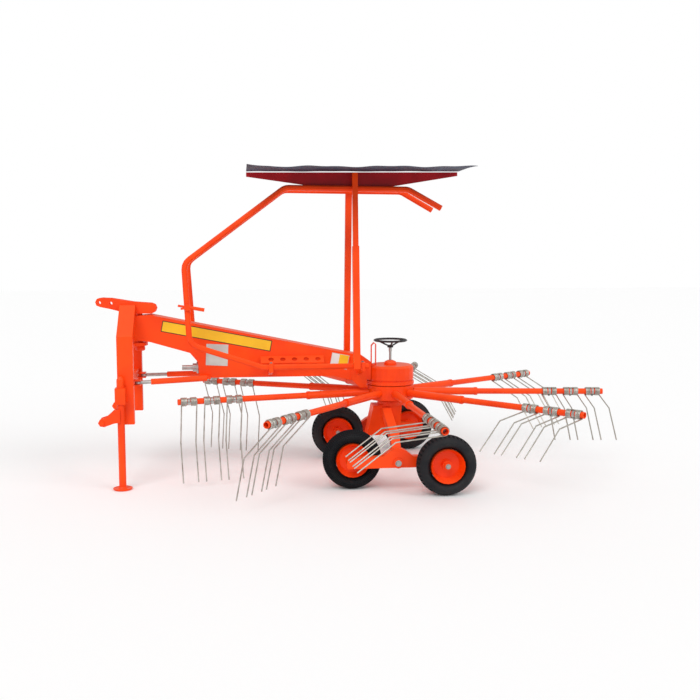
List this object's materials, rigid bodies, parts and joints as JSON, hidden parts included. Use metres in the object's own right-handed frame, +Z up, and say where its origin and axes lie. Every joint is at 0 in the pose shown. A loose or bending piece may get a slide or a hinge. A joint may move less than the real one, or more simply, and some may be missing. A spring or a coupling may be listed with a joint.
{
  "type": "rotary hay rake",
  "caption": "Mounted single-rotor hay rake with radial tine arms, a tandem axle, folding guards and a swath curtain, parked on its wheels and a stand.",
  "frame": {"origin": "middle of the base of the whole box, on the ground", "axes": "+X towards the rear of the machine (the hitch is at -X), +Y towards its right side, +Z up"},
  "size_m": [3.6384, 3.1082, 2.1845],
  "materials": {
    "orange_paint": "gloss orange-red paint",
    "red_paint": "satin deep red paint",
    "tyre_rubber": "matte black rubber",
    "spring_steel": "bare drawn spring wire",
    "zinc_steel": "zinc plated",
    "black_plastic": "black moulded",
    "curtain_fabric": "coated canvas, slate blue",
    "blank_plate": "blank printed film"
  },
  "bodies": {
    "main_frame": {"adjuster_hand_wheel": "black_plastic", "adjuster_spindle": "zinc_steel", "axle_leg_left": "orange_paint", "axle_leg_right": "orange_paint", "centre_column": "orange_paint", "data_plate": "blank_plate", "drive_input": "zinc_steel", "gear_housing": "orange_paint", "guard_hinge_front_left": "orange_paint", "guard_hinge_front_right": "orange_paint", "guard_hinge_rear_left": "orange_paint", "guard_hinge_rear_right": "orange_paint", "hooked_stay": "orange_paint", "housing_cheek_left": "orange_paint", "housing_cheek_right": "orange_paint", "main_beam": "orange_paint", "name_plate": "blank_plate", "notice_plate": "blank_plate", "strut_tube_left": "orange_paint", "strut_tube_right": "orange_paint", "tine_rack": "orange_paint"},
    "rotor": {"rotor_hub": "orange_paint", "tine_arm_1": "orange_paint", "tine_arm_2": "orange_paint", "tine_arm_3": "orange_paint", "tine_arm_4": "orange_paint", "tine_arm_5": "orange_paint", "tine_arm_6": "orange_paint", "tine_arm_7": "orange_paint", "tine_arm_8": "orange_paint", "tine_arm_9": "orange_paint"},
    "rocker_left": {"wheel_rocker_left": "orange_paint"},
    "rocker_right": {"wheel_rocker_right": "orange_paint"},
    "wheel_inner_left": {"rim_inner_left": "orange_paint", "tyre_inner_left": "tyre_rubber"},
    "wheel_outer_left": {"rim_outer_left": "orange_paint", "tyre_outer_left": "tyre_rubber"},
    "wheel_inner_right": {"rim_inner_right": "orange_paint", "tyre_inner_right": "tyre_rubber"},
    "wheel_outer_right": {"rim_outer_right": "orange_paint", "tyre_outer_right": "tyre_rubber"},
    "guard_left": {"guard_latch": "orange_paint", "guard_post_left": "orange_paint", "guard_tube_left": "orange_paint"},
    "guard_right": {"guard_post_right": "orange_paint", "guard_tube_right": "orange_paint"},
    "board_slide": {"board_arm": "orange_paint", "swath_board": "red_paint", "swath_curtain": "curtain_fabric"},
    "headstock": {"headstock_frame": "orange_paint", "lower_hitch_left": "orange_paint", "lower_hitch_right": "orange_paint", "stand_sleeve": "orange_paint", "swivel_pin": "orange_paint", "top_link_plates": "orange_paint"},
    "stand": {"parking_stand": "orange_paint"},
    "strut_left": {"strut_rod_left": "zinc_steel"},
    "strut_right": {"strut_rod_right": "zinc_steel"}
  },
  "joints": [
    {"name": "rotor_spin", "type": "hinge", "parent": "main_frame", "child": "rotor", "pos_m": [0.27, 0, 0.593], "axis": [0, 0, 1], "continuous": true},
    {"name": "rocker_left_tilt", "type": "hinge", "parent": "main_frame", "child": "rocker_left", "pos_m": [0.225, -0.578, 0.2], "axis": [0, 1, 0], "range_deg": [-8, 8]},
    {"name": "wheel_inner_left_spin", "type": "hinge", "parent": "rocker_left", "child": "wheel_inner_left", "pos_m": [-0.07, -0.485, 0.2025], "axis": [0, 1, 0], "continuous": true},
    {"name": "wheel_outer_left_spin", "type": "hinge", "parent": "rocker_left", "child": "wheel_outer_left", "pos_m": [0.534, -0.731, 0.2025], "axis": [0, 1, 0], "continuous": true},
    {"name": "rocker_right_tilt", "type": "hinge", "parent": "main_frame", "child": "rocker_right", "pos_m": [0.225, 0.578, 0.2], "axis": [0, 1, 0], "range_deg": [-8, 8]},
    {"name": "wheel_inner_right_spin", "type": "hinge", "parent": "rocker_right", "child": "wheel_inner_right", "pos_m": [-0.07, 0.485, 0.2025], "axis": [0, 1, 0], "continuous": true},
    {"name": "wheel_outer_right_spin", "type": "hinge", "parent": "rocker_right", "child": "wheel_outer_right", "pos_m": [0.534, 0.731, 0.2025], "axis": [0, 1, 0], "continuous": true},
    {"name": "guard_left_fold", "type": "hinge", "parent": "main_frame", "child": "guard_left", "pos_m": [0.27, -0.275, 0.816], "axis": [1, 0, 0], "range_deg": [0, 90]},
    {"name": "guard_right_fold", "type": "hinge", "parent": "main_frame", "child": "guard_right", "pos_m": [0.27, 0.275, 0.816], "axis": [-1, 0, 0], "range_deg": [0, 90]},
    {"name": "board_extend", "type": "slide", "parent": "guard_left", "child": "board_slide", "axis": [0, 0.1008, 0.9949], "range_m": [0, 0.4]},
    {"name": "headstock_swivel", "type": "hinge", "parent": "main_frame", "child": "headstock", "pos_m": [-1.525, 0, 0.96], "axis": [0, 0, 1], "range_deg": [-15, 15]},
    {"name": "stand_lift", "type": "slide", "parent": "headstock", "child": "stand", "axis": [0, 0, 1], "range_m": [0, 0.38]},
    {"name": "strut_left_slide", "type": "slide", "parent": "main_frame", "child": "strut_left", "axis": [0.9938, 0.1057, 0.0349], "range_m": [-0.0535, 0.0535]},
    {"name": "strut_right_slide", "type": "slide", "parent": "main_frame", "child": "strut_right", "axis": [0.982, -0.1851, 0.0372], "range_m": [-0.0535, 0.0535]}
  ],
  "couplings": [
    {"joint": "strut_left_slide", "follows": "headstock_swivel", "m_per_rad": 0.2},
    {"joint": "strut_right_slide", "follows": "headstock_swivel", "m_per_rad": -0.2}
  ]
}
